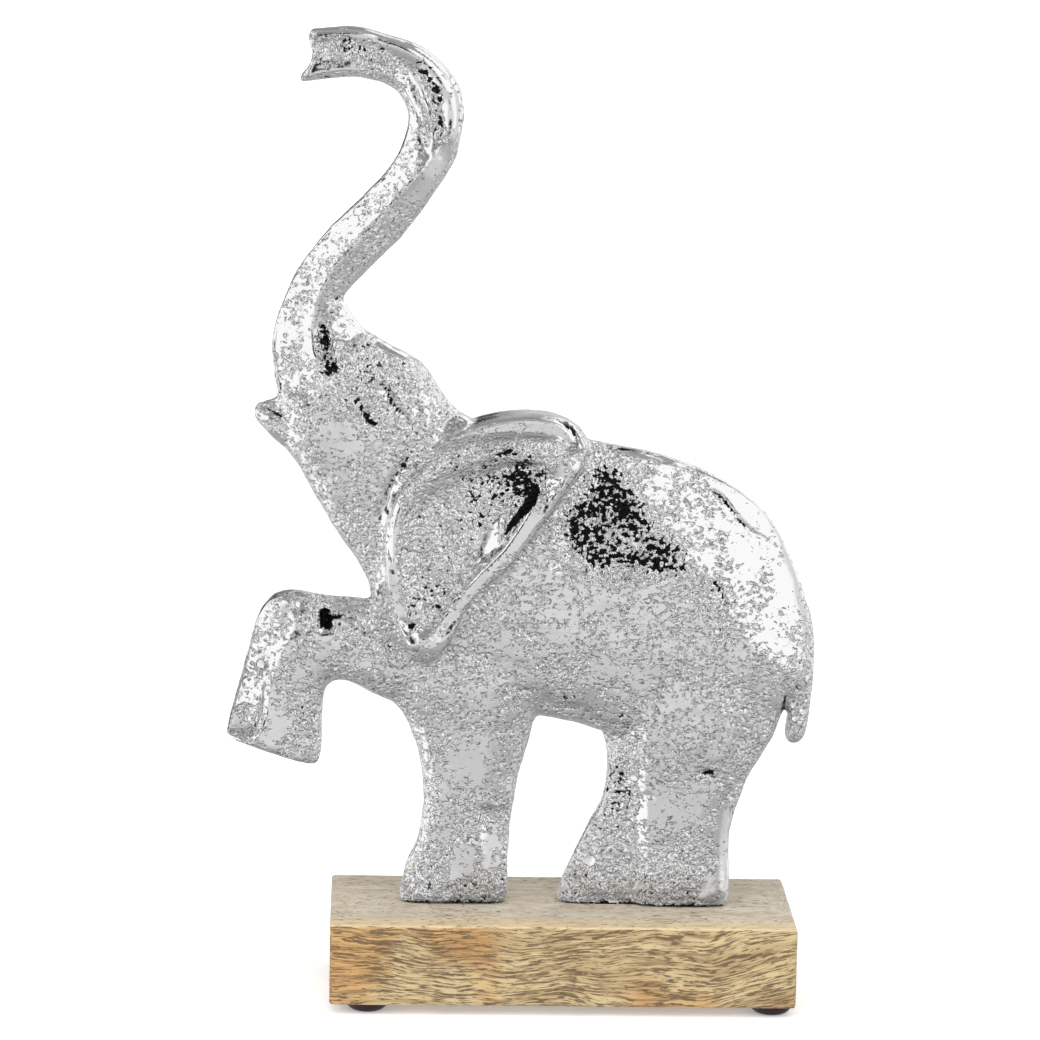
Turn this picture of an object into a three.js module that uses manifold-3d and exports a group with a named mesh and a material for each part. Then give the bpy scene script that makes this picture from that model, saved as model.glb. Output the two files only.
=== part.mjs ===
// A sand-cast aluminium elephant with its trunk raised over its head and one front leg lifted. It stands
// on a block of light wood with four domed rubber feet. Millimetres, +Z up. The animal faces -X, and the
// two broad faces of the casting look along -Y and +Y.
import * as THREE from "three";
import { mergeVertices } from "three/addons/utils/BufferGeometryUtils.js";
import Module from "manifold-3d";

const wasm = await Module();
wasm.setup();

// Driving dimensions of the casting. The figure's pose and outline are per cent of its height.
const FIGURE_HEIGHT = 269; // from the soles to the top of the trunk
const BODY_THICKNESS = 25;
const HEAD_THICKNESS = 22;
const TRUNK_THICKNESS = 16; // at the root
const TRUNK_TIP_THICKNESS = 11;
const FRONT_LEG_THICKNESS = 22; // at the shoulder
const NEAR_REAR_LEG_THICKNESS = 22; // at the thigh
const FAR_REAR_LEG_THICKNESS = 15;
const REAR_LEG_STEP = 1.3; // how far each rear leg stands to its own side of the middle plane
const SOLE_THICKNESS = 10.5; // of every standing leg at the block
const RAISED_LEG_THICKNESS = 19; // at the chest
const RAISED_SOLE_THICKNESS = 12;
const TAIL_THICKNESS = 9;
const EAR_THICKNESS = 33; // over both ears
const EAR_EDGE_THICKNESS = 21; // where the ears' rims fall to the head and the body
const EAR_TOP_THICKNESS = 8; // along the ears' free upper edge
const EAR_DISH = 5.5; // how deep each ear is hollowed inside its rim
const EYE_RELIEF = 1.4; // how far each eye stands out of the head
const NOSTRIL_RADIUS = 8; // the scoop in the end of the trunk

// Driving dimensions of the block and its feet
const BLOCK_LENGTH = 142;
const BLOCK_DEPTH = 60;
const BLOCK_HEIGHT = 25;
const BLOCK_EDGE_RADIUS = 1.2;
const BLOCK_CORNER_RADIUS = 2;
const FOOT_DIAMETER = 13;
const FOOT_FLAT_DIAMETER = 6;
const FOOT_HEIGHT = 3;
const FOOT_INSET_LEFT = 11.5; // from the block's left end to the middle of a foot
const FOOT_INSET_RIGHT = 7;
const FOOT_INSET_SIDE = 8;

// Clearance between pieces that seat on each other
const SEAT_GAP = 0.3;

// Corners of a joined solid closer than this are one corner
const WELD = 0.002;

const share = FIGURE_HEIGHT / 100;
const SIDEWAYS = new THREE.Vector3(0, 1, 0);

// Outline of each limb as pairs of points on its two edges: x, z of one edge, then x, z of the other.
const TRUNK = [
  [-29.7, 99.6, -30.9, 93.6],
  [-24.5, 100.0, -26.0, 94.2],
  [-21.2, 99.1, -23.0, 94.1],
  [-17.8, 98.1, -20.6, 93.2],
  [-15.0, 96.1, -19.1, 91.5],
  [-13.1, 93.6, -18.7, 89.9],
  [-12.5, 90.4, -19.0, 88.4],
  [-12.9, 86.9, -19.5, 86.7],
  [-14.2, 83.6, -21.0, 84.1],
  [-19.7, 75.9, -27.5, 77.4],
  [-23.0, 72.7, -30.5, 73.5],
  [-25.8, 69.3, -32.5, 69.3],
  [-27.1, 65.0, -33.7, 65.0],
  [-27.5, 59.8, -33.4, 60.1],
];
const HEAD_AND_NECK = [
  [-31.2, 68.0, -25.9, 69.6],
  [-33.1, 64.2, -23.6, 66.3],
  [-33.1, 60.5, -20.1, 64.2],
  [-32.9, 56.8, -16.7, 62.4],
  [-32.5, 53.1, -14.7, 59.2],
  [-30.6, 50.4, -12.6, 56.9],
  [-28.6, 46.8, -8.9, 55.2],
  [-25.8, 42.3, -3.0, 54.6],
  [-22.9, 37.8, 3.0, 50.1],
  [-21.6, 32.3, 5.6, 42.7],
];
const LOWER_LIP = [
  [-31.2, 58.7, -31.2, 51.6],
  [-33.5, 58.0, -33.7, 53.6],
  [-35.0, 57.6, -35.2, 55.4],
];
const BODY = [
  [-21.6, 39.7, -22.3, 32.3],
  [-16.7, 50.1, -19.3, 27.1],
  [-10.4, 54.2, -14.1, 24.1],
  [-3.0, 54.3, -8.2, 22.6],
  [8.2, 52.8, 1.5, 21.1],
  [13.0, 51.5, 5.2, 19.6],
  [17.5, 49.5, 9.7, 18.9],
  [21.2, 47.0, 14.1, 18.5],
  [24.2, 43.3, 18.6, 18.9],
  [27.5, 34.9, 23.8, 21.9],
  [27.9, 30.8, 25.7, 24.8],
];
const FRONT_LEG = [
  [-21.6, 29.3, -1.5, 29.3],
  [-20.1, 24.1, -2.0, 24.8],
  [-18.0, 21.3, -3.3, 21.5],
  [-16.1, 14.8, -5.0, 15.2],
  [-16.4, 8.1, -6.1, 8.1],
  [-18.1, 3.8, -6.1, 3.3],
  [-18.7, 0, -6.1, 0],
];
const NEAR_REAR_LEG = [
  [5.2, 27.8, 26.8, 27.8],
  [6.9, 19.6, 23.6, 19.3],
  [7.4, 15.9, 21.6, 15.9],
  [8.4, 9.2, 19.3, 9.6],
  [8.6, 3.3, 19.3, 3.6],
  [8.0, 0, 19.3, 0],
];
const FAR_REAR_LEG = [
  [3.0, 24.1, 14.9, 24.1],
  [4.9, 18.1, 13.4, 18.1],
  [4.6, 12.6, 12.6, 12.2],
  [2.9, 9.0, 12.6, 8.8],
  [0.1, 2.7, 11.5, 2.5],
  [-0.7, 0, 11.2, 0],
];
const RAISED_LEG = [
  [-14.9, 34.5, -14.1, 22.6],
  [-20.4, 35.0, -19.7, 23.2],
  [-27.5, 35.6, -24.7, 25.7],
  [-30.9, 36.1, -26.2, 25.7],
  [-33.6, 35.4, -27.1, 24.8],
  [-35.5, 32.0, -27.4, 23.3],
  [-36.4, 28.2, -27.5, 21.5],
  [-38.1, 21.9, -27.6, 18.1],
  [-38.5, 19.4, -28.0, 16.0],
];
const TAIL = [
  [24.5, 34.5, 27.7, 34.9],
  [25.1, 30.8, 28.4, 30.8],
  [25.4, 23.7, 28.2, 23.7],
  [25.2, 20.2, 27.6, 20.2],
];

// Outline of an ear as x, z points round its rim, and the middle of its dish
const EAR = [
  [-16.2, 51.6],
  [-13.6, 54.6],
  [-9.7, 56.2],
  [-4.1, 56.9],
  [0.1, 55.9],
  [2.0, 53.6],
  [0.9, 50.6],
  [-3.4, 44.4],
  [-7.3, 39.3],
  [-11.2, 35.8],
  [-13.1, 31.5],
  [-15.5, 28.8],
  [-17.7, 29.3],
  [-19.4, 33.5],
  [-20.8, 39.3],
  [-20.5, 45.3],
  [-18.6, 49.5],
];
const EAR_MIDDLE = [-11.5, 44.5];
const EYE_MIDDLE = [-21.7, 58.0];
const EYE_LENGTH = 4.6;
const EYE_WIDTH = 2.4;
const EYE_TILT = THREE.MathUtils.degToRad(-38);
const NOSTRIL_DEPTH = [-29.4, 97.0];
const BACK_LEVEL = 52; // above this the ears stand free of the back

// Shapes of curves and sections
const smooth = THREE.MathUtils.smoothstep;
const mix = THREE.MathUtils.lerp;
const onPlane = (x, z, y = 0) => new THREE.Vector3(x * share, y, z * share);
const oval = (wave, power) => Math.sign(wave) * Math.abs(wave) ** (2 / power);

// A closed skin over rows of points, each row a ring, with a fan over each end ring.
function skin(rows) {
  const sides = rows[0].length;
  const middle = (row) => row.reduce((sum, p) => sum.add(p), new THREE.Vector3()).divideScalar(sides);
  const points = [...rows.flat(), middle(rows[0]), middle(rows.at(-1))];
  const firstMiddle = points.length - 2;
  const lastMiddle = points.length - 1;
  const lastRow = (rows.length - 1) * sides;
  const faces = [];
  for (let i = 0; i < sides; i++) {
    const next = (i + 1) % sides;
    for (let start = 0; start < lastRow; start += sides) {
      const [a, b, c, d] = [start + i, start + next, start + sides + next, start + sides + i];
      faces.push(a, b, c, a, c, d);
    }
    faces.push(firstMiddle, next, i, lastMiddle, lastRow + i, lastRow + next);
  }
  return new THREE.BufferGeometry().setFromPoints(points).setIndex(faces);
}

// A limb of the casting: rings strung between its two edges. shape(t) gives the thickness, the power of
// the section (1 is a diamond, 2 an oval, 3 nearly a box) and the crease along its middle at t from 0
// to 1. side moves the limb off the middle plane, and roundEnd closes it with a dome.
function limb({ outline, shape, rings, sides, side = 0, roundEnd = 0 }) {
  const edge = (column) =>
    new THREE.CatmullRomCurve3(
      outline.map((pair) => onPlane(pair[column], pair[column + 1])),
      false,
      "centripetal",
    );
  const edges = [edge(0), edge(2)];
  const sections = [];
  for (let k = 0; k <= rings; k++) {
    const t = k / rings;
    const [one, other] = edges.map((curve) => curve.getPoint(t));
    const middle = one.clone().lerp(other, 0.5);
    sections.push({ middle, half: other.sub(middle), size: 1, ...shape(t) });
  }
  const forward = sections[1].middle.clone().sub(sections[0].middle);
  if (roundEnd > 0) {
    const last = sections.at(-1);
    const onward = last.middle.clone().sub(sections.at(-2).middle).normalize();
    for (const angle of [30, 55, 78].map(THREE.MathUtils.degToRad)) {
      const middle = last.middle.clone().addScaledVector(onward, roundEnd * Math.sin(angle));
      sections.push({ ...last, middle, size: Math.cos(angle) });
    }
  }
  const turned = sections[0].half.clone().cross(SIDEWAYS).dot(forward) < 0;
  const rows = sections.map(({ middle, half, size, thickness, power, crease = 0 }) => {
    const row = [];
    for (let i = 0; i < sides; i++) {
      const angle = ((i + 0.5) / sides) * 2 * Math.PI;
      const across = oval(Math.cos(angle), power);
      const cut = 1 - crease * Math.exp(-((across / 0.3) ** 2));
      const out = side + (oval(Math.sin(angle), power) * cut * size * thickness) / 2;
      row.push(middle.clone().addScaledVector(half, across * size).setY(middle.y + out));
    }
    return turned ? row.reverse() : row;
  });
  return skin(rows);
}

// A pad seen on both faces of the casting: rings from the middle of one face over its rim to the middle
// of the other. lift(s, p) gives half its thickness at s from 0 in the middle to 1 at the rim's point p.
function pad({ rim, middle, lift, steps }) {
  const ring = (s, face) =>
    rim.map((p) => middle.clone().lerp(p, s).setY(face * lift(s, p)));
  const near = steps.map((s) => ring(s, -1));
  const far = steps.map((s) => ring(s, 1));
  return skin([...near, ...far.reverse()]);
}

function ear() {
  const curve = new THREE.CatmullRomCurve3(EAR.map(([x, z]) => onPlane(x, z)), true, "centripetal");
  const rim = curve.getSpacedPoints(48).slice(0, -1);
  const lift = (s, p) => {
    const free = smooth(p.z, BACK_LEVEL * share, (BACK_LEVEL + 3) * share);
    const crest = mix(0.9, 0.7, free);
    const edge = mix(EAR_EDGE_THICKNESS, EAR_TOP_THICKNESS, free);
    const fall = Math.sqrt(1 - Math.max(0, (s - crest) / (1 - crest)) ** 2);
    const dish = EAR_DISH * (1 - smooth(s, 0.48, crest)) * (0.75 + 0.25 * s);
    return mix(edge, EAR_THICKNESS, fall) / 2 - dish;
  };
  const steps = [0.14, 0.34, 0.5, 0.61, 0.7, 0.77, 0.84, 0.9, 0.95, 0.985, 1];
  return pad({ rim, middle: onPlane(...EAR_MIDDLE), lift, steps });
}

function eye() {
  const [x, z] = EYE_MIDDLE;
  const rim = [];
  for (let i = 0; i < 16; i++) {
    const angle = (-i / 16) * 2 * Math.PI;
    const along = (EYE_LENGTH / 2) * Math.cos(angle);
    const across = (EYE_WIDTH / 2) * Math.sin(angle);
    rim.push(
      onPlane(
        x + along * Math.cos(EYE_TILT) - across * Math.sin(EYE_TILT),
        z + along * Math.sin(EYE_TILT) + across * Math.cos(EYE_TILT),
      ),
    );
  }
  const base = 0.42 * HEAD_THICKNESS;
  const lift = (s) => base + EYE_RELIEF * Math.sqrt(1 - s * s);
  return pad({ rim, middle: onPlane(x, z), lift, steps: [0.3, 0.7, 0.92, 1] });
}

// The hook of the trunk has a rim and a crease below it, and the straight part has a ridge instead.
function trunkShape(t) {
  const straight = smooth(t, 0.5, 0.62);
  const root = smooth(t, 0.85, 1);
  return {
    thickness: mix(TRUNK_TIP_THICKNESS, TRUNK_THICKNESS, Math.min(1, t / 0.7)),
    power: mix(mix(2.6, 1.5, straight), 2.2, root),
    crease: 0.18 * (1 - straight),
  };
}

// A leg is thick where it leaves the body and flat at the sole.
function legShape(root, sole) {
  return (t) => ({ thickness: mix(root, sole, smooth(t, 0, 0.85)), power: mix(2.3, 3.4, t) });
}

const casting = [
  limb({
    outline: BODY,
    shape: (t) => ({
      thickness: BODY_THICKNESS * (1 - 0.28 * smooth(t, 0.75, 1)),
      power: 2.5,
    }),
    rings: 20,
    sides: 26,
  }),
  limb({
    outline: HEAD_AND_NECK,
    shape: (t) => ({
      thickness: HEAD_THICKNESS * mix(0.62, 1, smooth(t, 0, 0.35)),
      power: 2.4,
    }),
    rings: 18,
    sides: 24,
  }),
  limb({ outline: TRUNK, shape: trunkShape, rings: 32, sides: 18 }),
  limb({
    outline: LOWER_LIP,
    shape: (t) => ({ thickness: mix(0.62, 0.3, t) * HEAD_THICKNESS, power: 2 }),
    rings: 5,
    sides: 14,
    roundEnd: 0.5 * share,
  }),
  limb({
    outline: FRONT_LEG,
    shape: legShape(FRONT_LEG_THICKNESS, SOLE_THICKNESS),
    rings: 14,
    sides: 20,
  }),
  limb({
    outline: NEAR_REAR_LEG,
    shape: legShape(NEAR_REAR_LEG_THICKNESS, SOLE_THICKNESS),
    rings: 11,
    sides: 18,
    side: -REAR_LEG_STEP,
  }),
  limb({
    outline: FAR_REAR_LEG,
    shape: legShape(FAR_REAR_LEG_THICKNESS, SOLE_THICKNESS),
    rings: 11,
    sides: 18,
    side: REAR_LEG_STEP,
  }),
  limb({
    outline: RAISED_LEG,
    shape: legShape(RAISED_LEG_THICKNESS, RAISED_SOLE_THICKNESS),
    rings: 18,
    sides: 18,
    roundEnd: 0.5 * share,
  }),
  limb({
    outline: TAIL,
    shape: () => ({ thickness: TAIL_THICKNESS, power: 2.2 }),
    rings: 9,
    sides: 10,
    roundEnd: 1.4 * share,
  }),
  ear(),
  eye(),
];

// Joins and cuts on closed solids
function solidOf(geometry) {
  const bare = geometry.clone();
  bare.deleteAttribute("normal");
  bare.deleteAttribute("uv");
  const merged = mergeVertices(bare, 1e-4);
  return new wasm.Manifold(
    new wasm.Mesh({
      numProp: 3,
      vertProperties: merged.attributes.position.array,
      triVerts: new Uint32Array(merged.index.array),
    }),
  );
}

// Corners closer than the weld are one corner, and the slivers between them go.
function geometryOf(solid) {
  const { vertProperties, triVerts } = solid.getMesh();
  const raw = new THREE.BufferGeometry();
  raw.setAttribute("position", new THREE.BufferAttribute(vertProperties, 3));
  raw.setIndex(new THREE.BufferAttribute(triVerts, 1));
  const geometry = mergeVertices(raw, WELD);
  const corners = geometry.index.array;
  const faces = [];
  for (let i = 0; i < corners.length; i += 3) {
    const [a, b, c] = corners.subarray(i, i + 3);
    if (a !== b && b !== c && c !== a) faces.push(a, b, c);
  }
  geometry.setIndex(faces);
  geometry.computeVertexNormals();
  return geometry;
}

// The scoop in the end of the trunk runs through from face to face.
function nostril() {
  const [x, z] = NOSTRIL_DEPTH;
  const height = 2 * TRUNK_TIP_THICKNESS;
  return new THREE.CylinderGeometry(NOSTRIL_RADIUS, NOSTRIL_RADIUS, height, 28).translate(
    x * share - NOSTRIL_RADIUS,
    0,
    z * share,
  );
}

const elephantSolid = casting
  .map(solidOf)
  .reduce((whole, piece) => whole.add(piece))
  .subtract(solidOf(nostril()));

// The block: a rectangle with rounded corners, extruded along its height with rounded edges.
function blockGeometry() {
  const r = BLOCK_CORNER_RADIUS;
  const x = BLOCK_LENGTH / 2 - r;
  const y = BLOCK_DEPTH / 2 - r;
  const plan = new THREE.Shape();
  plan.absarc(x, y, r, 0, Math.PI / 2);
  plan.absarc(-x, y, r, Math.PI / 2, Math.PI);
  plan.absarc(-x, -y, r, Math.PI, 1.5 * Math.PI);
  plan.absarc(x, -y, r, 1.5 * Math.PI, 2 * Math.PI);
  return new THREE.ExtrudeGeometry(plan, {
    depth: BLOCK_HEIGHT - 2 * BLOCK_EDGE_RADIUS,
    curveSegments: 3,
    bevelThickness: BLOCK_EDGE_RADIUS,
    bevelSize: BLOCK_EDGE_RADIUS,
    bevelOffset: -BLOCK_EDGE_RADIUS,
    bevelSegments: 3,
  }).translate(0, 0, BLOCK_EDGE_RADIUS);
}

// A rubber foot: a low dome with a flat underside, turned about its own axis.
function footGeometry() {
  const top = FOOT_DIAMETER / 2;
  const flat = FOOT_FLAT_DIAMETER / 2;
  const profile = [new THREE.Vector2(0, 0)];
  for (let i = 0; i <= 4; i++) {
    const angle = (i / 4) * (Math.PI / 2);
    const radius = flat + (top - flat) * Math.sin(angle);
    profile.push(new THREE.Vector2(radius, FOOT_HEIGHT * (1 - Math.cos(angle))));
  }
  profile.push(new THREE.Vector2(0, FOOT_HEIGHT));
  return new THREE.LatheGeometry(profile, 20).rotateX(Math.PI / 2);
}

// Materials
const aluminium = new THREE.MeshStandardMaterial({ color: 0xd2d2d0, roughness: 0.2, metalness: 1 });
const wood = new THREE.MeshStandardMaterial({ color: 0xb59a6c, roughness: 0.65, metalness: 0 });
const rubber = new THREE.MeshStandardMaterial({ color: 0x1c1216, roughness: 0.5, metalness: 0 });

function named(name, geometry, material) {
  const mesh = new THREE.Mesh(geometry, material);
  mesh.name = name;
  return mesh;
}

// Assembly, from the table up
const figurine = new THREE.Group();
const blockBottom = FOOT_HEIGHT + SEAT_GAP;
const blockTop = blockBottom + BLOCK_HEIGHT;

const elephant = named("elephant", geometryOf(elephantSolid), aluminium);
elephant.position.z = blockTop + SEAT_GAP;
figurine.add(elephant);

const block = named("wood_base", geometryOf(solidOf(blockGeometry())), wood);
block.position.z = blockBottom;
figurine.add(block);

const ends = { left: -BLOCK_LENGTH / 2 + FOOT_INSET_LEFT, right: BLOCK_LENGTH / 2 - FOOT_INSET_RIGHT };
const sides = { front: -BLOCK_DEPTH / 2 + FOOT_INSET_SIDE, back: BLOCK_DEPTH / 2 - FOOT_INSET_SIDE };
for (const [side, y] of Object.entries(sides)) {
  for (const [end, x] of Object.entries(ends)) {
    const foot = named(`foot_${side}_${end}`, geometryOf(solidOf(footGeometry())), rubber);
    foot.position.set(x, y, 0);
    figurine.add(foot);
  }
}

// The origin is at the middle of the whole object's box, on the table.
const box = new THREE.Box3().setFromObject(figurine, true);
const part = new THREE.Group();
figurine.position.set(-(box.min.x + box.max.x) / 2, -(box.min.y + box.max.y) / 2, -box.min.z);
part.add(figurine);

export default part;
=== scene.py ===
# Aluminium elephant figurine on a light wood block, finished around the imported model.
import math

import bmesh
import bpy
import numpy as np
from mathutils import Matrix, Vector, noise


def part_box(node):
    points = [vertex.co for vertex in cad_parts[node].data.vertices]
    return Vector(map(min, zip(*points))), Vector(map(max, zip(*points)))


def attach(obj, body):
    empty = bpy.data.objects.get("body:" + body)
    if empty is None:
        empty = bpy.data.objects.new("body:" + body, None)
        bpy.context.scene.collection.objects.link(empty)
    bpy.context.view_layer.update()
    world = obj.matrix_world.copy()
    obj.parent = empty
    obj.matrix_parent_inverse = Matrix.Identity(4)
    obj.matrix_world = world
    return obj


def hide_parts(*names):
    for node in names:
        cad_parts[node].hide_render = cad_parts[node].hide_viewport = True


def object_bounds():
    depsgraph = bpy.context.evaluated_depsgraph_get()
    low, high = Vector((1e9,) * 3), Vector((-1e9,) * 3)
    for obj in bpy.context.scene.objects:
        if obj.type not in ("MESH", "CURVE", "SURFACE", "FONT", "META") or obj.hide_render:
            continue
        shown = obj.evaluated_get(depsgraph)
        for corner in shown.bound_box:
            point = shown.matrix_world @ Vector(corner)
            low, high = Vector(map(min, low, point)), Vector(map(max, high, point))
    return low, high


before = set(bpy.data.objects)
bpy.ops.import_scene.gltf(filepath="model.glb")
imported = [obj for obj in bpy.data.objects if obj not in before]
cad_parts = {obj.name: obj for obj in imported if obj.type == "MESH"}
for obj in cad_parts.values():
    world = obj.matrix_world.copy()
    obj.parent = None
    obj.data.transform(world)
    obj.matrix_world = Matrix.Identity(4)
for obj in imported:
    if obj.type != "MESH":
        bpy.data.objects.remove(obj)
cad_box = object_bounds()

MM = 0.001
BLOCK_LOW, BLOCK_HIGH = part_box("wood_base")
FIGURE_LOW, FIGURE_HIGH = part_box("elephant")
# Drawn places are in millimetres from the middle of the block's underside, seen from the front.
MIDDLE_X = (BLOCK_LOW.x + BLOCK_HIGH.x) / 2
MIDDLE_Y = (BLOCK_LOW.y + BLOCK_HIGH.y) / 2
UNDERSIDE = BLOCK_LOW.z


# Camera at the photograph's place: its place and lens in millimetres, and its turns in degrees
CAMERA_PLACE = (-60.37, -1399.44, 406.45)
CAMERA_YAW = 1.868
CAMERA_DOWN = 10.582
CAMERA_ROLL = -1.039
LENS = 161.92
SENSOR_WIDTH = 36

camera_data = bpy.data.cameras.new("camera")
camera_data.lens = LENS
camera_data.sensor_width = SENSOR_WIDTH
camera = bpy.data.objects.new("camera", camera_data)
turned = (
    Matrix.Rotation(math.radians(-CAMERA_YAW), 4, "Z")
    @ Matrix.Rotation(math.radians(-CAMERA_DOWN), 4, "X")
    @ Matrix.Rotation(math.radians(CAMERA_ROLL), 4, "Y")
    @ Matrix.Rotation(math.radians(90), 4, "X")
)
across, towards, above = CAMERA_PLACE
camera_at = Vector((MIDDLE_X + across * MM, MIDDLE_Y + towards * MM, UNDERSIDE + above * MM))
camera.matrix_world = Matrix.Translation(camera_at) @ turned
bpy.context.scene.collection.objects.link(camera)
bpy.context.scene.camera = camera


# Helpers that make pieces. Points closer than MERGE_WITHIN millimetres are one point.
SMOOTHING = 0.5
MERGE_WITHIN = 0.002
PATTERN_STEPS = (17.3, 5.9, 11.1)


def new_piece(name, bm):
    """A bmesh as an object of its own, shaded smooth, with its faces outwards."""
    bmesh.ops.recalc_face_normals(bm, faces=bm.faces)
    mesh = bpy.data.meshes.new(name)
    bm.to_mesh(mesh)
    bm.free()
    piece = bpy.data.objects.new(name, mesh)
    bpy.context.scene.collection.objects.link(piece)
    mesh.shade_smooth()
    return piece


def even_skin(piece, cell, passes):
    """The piece with an even skin of small squares, smoothed to lose the flat faces it came from."""
    remesh = piece.modifiers.new("even_skin", "REMESH")
    remesh.mode = "VOXEL"
    remesh.voxel_size = cell
    remesh.adaptivity = 0
    if passes:
        smooth = piece.modifiers.new("rubbed_down", "SMOOTH")
        smooth.factor = SMOOTHING
        smooth.iterations = passes
    made = bpy.data.meshes.new_from_object(piece.evaluated_get(bpy.context.evaluated_depsgraph_get()))
    piece.modifiers.clear()
    piece.data = made
    made.shade_smooth()


def places(mesh):
    found = np.empty(len(mesh.vertices) * 3, np.float32)
    mesh.vertices.foreach_get("co", found)
    return found.reshape(-1, 3).astype(float)


def facings(mesh):
    found = np.empty(len(mesh.vertices) * 3, np.float32)
    mesh.vertex_normals.foreach_get("vector", found)
    return found.reshape(-1, 3).astype(float)


def set_places(mesh, points):
    mesh.vertices.foreach_set("co", points.astype(np.float32).ravel())
    mesh.update()


def ease(low, high, value):
    share = np.clip((value - low) / (high - low), 0, 1)
    return share * share * (3 - 2 * share)


def bumps(points, size, seed):
    """Smooth noise from -1 to 1 with lumps of about this size, in millimetres."""
    away = Vector([seed * step for step in PATTERN_STEPS])
    return np.array([noise.noise(Vector(p) / (size * MM) + away) for p in points])


def off_line(x, z, line):
    """How far each drawn place is from a drawn line, and the line's other values at its nearest point."""
    best = np.full(len(x), np.inf)
    values = np.zeros((len(x), len(line[0]) - 2))
    for start, end in zip(line, line[1:]):
        (x0, z0), (x1, z1) = start[:2], end[:2]
        dx, dz = x1 - x0, z1 - z0
        t = np.clip(((x - x0) * dx + (z - z0) * dz) / (dx * dx + dz * dz), 0, 1)
        far = np.hypot(x - x0 - t * dx, z - z0 - t * dz)
        nearer = far < best
        best = np.where(nearer, far, best)
        here = np.outer(1 - t, start[2:]) + np.outer(t, end[2:])
        values = np.where(nearer[:, None], here, values)
    return best, values


def stroke(x, z, line):
    """The depth of a groove at each drawn place, from points of (x, z, half width, depth)."""
    far, values = off_line(x, z, line)
    return values[:, 1] * (1 - ease(0, 1, far / values[:, 0]))


def fold_of(x, z, line):
    """The depth of a valley with straight sides, from points of (x, z, left width, right width, depth)."""
    best = np.full(len(x), np.inf)
    depth = np.zeros(len(x))
    for start, end in zip(line, line[1:]):
        dx, dz = end[0] - start[0], end[1] - start[1]
        t = np.clip(((x - start[0]) * dx + (z - start[1]) * dz) / (dx * dx + dz * dz), 0, 1)
        off_x, off_z = x - start[0] - t * dx, z - start[1] - t * dz
        far = np.hypot(off_x, off_z)
        left = dx * off_z - dz * off_x > 0
        left_width, right_width, deep = (start[i] + t * (end[i] - start[i]) for i in (2, 3, 4))
        here = deep * np.clip(1 - far / np.where(left, left_width, right_width), 0, 1)
        depth = np.where(far < best, here, depth)
        best = np.minimum(best, far)
    return depth


def inside(x, z, outline):
    """How far inside a drawn outline each place is: negative outside."""
    loop = list(outline) + [outline[0]]
    far, _ = off_line(x, z, loop)
    within = np.zeros(len(x), bool)
    for (x0, z0), (x1, z1) in zip(loop, loop[1:]):
        if z0 != z1:
            crosses = (z0 > z) != (z1 > z)
            within ^= crosses & (x < (x1 - x0) * (z - z0) / (z1 - z0) + x0)
    return np.where(within, far, -far)


def patch(x, z, outline, soft):
    """1 inside a drawn outline and 0 outside, eased over a soft edge."""
    return ease(-soft / 2, soft / 2, inside(x, z, outline))


# Grooves of the casting as points of (x, z, half width, depth), the same on its front and back. A ridge has
# a depth below zero.
HEAD_LINES = [
    # lip of the trunk's tip
    [(-82, 279.5, 1.2, -0.5), (-70, 281.6, 1.5, -0.6), (-60, 280.5, 1.5, -0.3)],
    # notch above the lobe
    [(-72, 213.5, 1.4, 0.9), (-68.5, 211, 1.2, 0.8)],
    # brow
    [(-59.2, 189.6, 0.9, 0.5), (-55.8, 186.2, 1.3, 1.1), (-54.3, 181.8, 1.3, 1.1),
     (-49.9, 177.8, 1.2, 0.9), (-48.9, 175.9, 0.9, 0.4)],
    [(-56.5, 190.5, 1.6, -0.5), (-52.5, 184.5, 1.8, -0.8), (-48.5, 178.5, 1.6, -0.5)],
    # lids
    [(-64.1, 183.7, 0.9, 0.6), (-62.8, 179.2, 1.3, 1.2), (-60.2, 175.9, 1.4, 1.3),
     (-57.7, 175.4, 1.0, 0.6)],
    [(-61.5, 187.3, 0.8, 0.5), (-57.5, 186.8, 0.8, 0.5), (-55.6, 183.5, 0.8, 0.4)],
    # lip
    [(-92.5, 179.0, 1.0, 0.9), (-88.5, 177.2, 1.4, 1.1), (-86, 175.6, 0.9, 0.3)],
    # side of the neck in front of the ear
    [(-49, 166, 2.4, 0.9), (-54, 158, 2.4, 0.9), (-57, 148, 2.0, 0.6)],
]
EAR_LINES = [
    # folds in the dish
    [(-21.5, 167.8, 1.1, 0.9), (-18.5, 168.6, 1.5, 1.4), (-14.9, 167.1, 0.9, 0.6)],
    [(-24, 158.2, 1.3, 0.5), (-18, 157.6, 1.8, 0.9), (-12, 159, 1.4, 0.5)],
    # lower tip
    [(-50.2, 116.3, 1.1, 1.0), (-47.8, 114.4, 1.5, 1.5), (-45.8, 115.5, 1.0, 0.8)],
    # edge of the left rim
    [(-53.3, 158.8, 0.9, 0.6), (-55.0, 150.4, 0.9, 0.9), (-54.6, 139.9, 0.9, 0.9),
     (-53.8, 131.5, 0.8, 0.6)],
    # thin edge of the top
    [(-27.9, 178.6, 1.1, 1.2), (-21.7, 179.3, 1.2, 1.6), (-15.6, 179.6, 1.2, 1.7),
     (-6.3, 178.8, 1.2, 1.9), (-2.4, 176.6, 1.2, 2.0), (0.5, 174.0, 1.3, 2.0), (1.7, 171.8, 1.2, 1.4)],
]
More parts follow.
